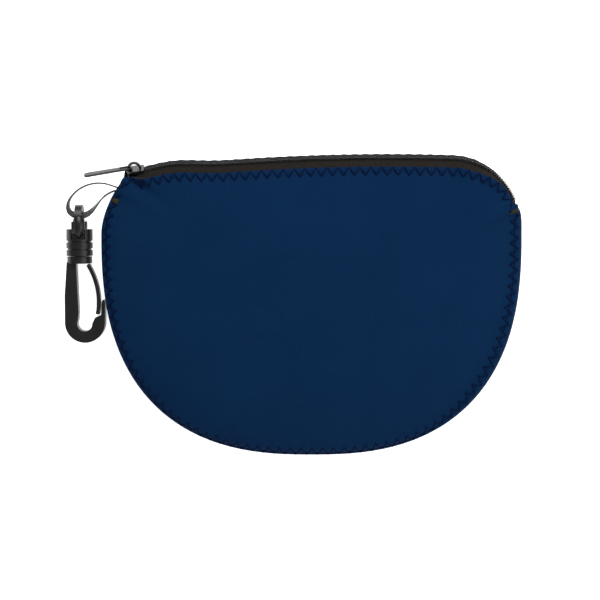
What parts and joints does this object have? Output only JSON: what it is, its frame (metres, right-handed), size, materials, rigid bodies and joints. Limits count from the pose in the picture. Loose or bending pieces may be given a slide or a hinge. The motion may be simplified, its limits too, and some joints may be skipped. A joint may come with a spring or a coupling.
{
  "type": "zip pouch with swivel hook",
  "caption": "Small D-shaped soft pouch with a curved top zip, a ribbon loop and a plastic swivel hook, for cash and coins.",
  "frame": {"origin": "middle of the back panel's resting face, on the surface that the pouch lies on", "axes": "+Z out of the front panel, +Y towards the zip, +X along the zip away from the hook"},
  "size_m": [0.1941, 0.1301, 0.022],
  "materials": {
    "neoprene": "matte",
    "seam_thread": "satin",
    "tack_thread": "matte",
    "zip_tape": "matte",
    "nylon_coil": "satin",
    "coil_thread": "matte",
    "slider_metal": "gloss",
    "ribbon": "matte",
    "hook_plastic": "satin"
  },
  "bodies": {
    "pouch": {"back_panel": "neoprene", "front_panel": "neoprene", "seam_thread": "seam_thread", "zip_stitch_back": "seam_thread", "zip_tape_back": "zip_tape", "zip_coil_back": "nylon_coil", "coil_thread_back": "coil_thread", "bottom_stop": "slider_metal", "bar_tack_left": "tack_thread", "bar_tack_right": "tack_thread", "strap_tack": "seam_thread", "hanger_strap": "ribbon"},
    "lip": {"front_lip": "neoprene", "zip_stitch_front": "seam_thread", "zip_tape_front": "zip_tape", "zip_coil_front": "nylon_coil", "coil_thread_front": "coil_thread"},
    "slider": {"slider_body": "slider_metal"},
    "tab": {"pull_tab": "slider_metal"},
    "eye": {"swivel_eye": "hook_plastic"},
    "hook": {"hook_body": "hook_plastic"},
    "gate": {"hook_gate": "hook_plastic"}
  },
  "joints": [
    {"name": "slider_travel", "type": "hinge", "parent": "pouch", "child": "slider", "pos_m": [0.032, -0.8386, 0.0105], "axis": [0, 0, -1], "range_deg": [0, 8.5], "deforming": ["zip_coil_front", "zip_coil_back"]},
    {"name": "mouth_open", "type": "hinge", "parent": "pouch", "child": "lip", "pos_m": [0, 0.04, 0.0205], "axis": [1, 0, 0], "range_deg": [0, 40], "deforming": ["zip_tape_front", "coil_thread_front"]},
    {"name": "pull_tab_swing", "type": "hinge", "parent": "slider", "child": "tab", "pos_m": [-0.07617, 0.05732, 0.0119], "axis": [-0.059, 0.4965, -0.866], "range_deg": [0, 160]},
    {"name": "hook_swing", "type": "hinge", "parent": "pouch", "child": "eye", "pos_m": [-0.0986, 0.0363, 0.0068], "axis": [-1, 0, 0], "range_deg": [0, 90]},
    {"name": "hook_swivel", "type": "hinge", "parent": "eye", "child": "hook", "pos_m": [-0.0986, 0.0363, 0.0068], "axis": [0, 0.9972, 0.075], "continuous": true},
    {"name": "gate_flex", "type": "hinge", "parent": "hook", "child": "gate", "pos_m": [-0.0946, 0.01606, 0.00528], "axis": [0, 0.075, -0.9972], "range_deg": [0, 14], "stiffness_Nm_per_rad": 0.02}
  ],
  "couplings": [
    {"joint": "mouth_open", "follows": "slider_travel", "ratio": 4.7}
  ]
}
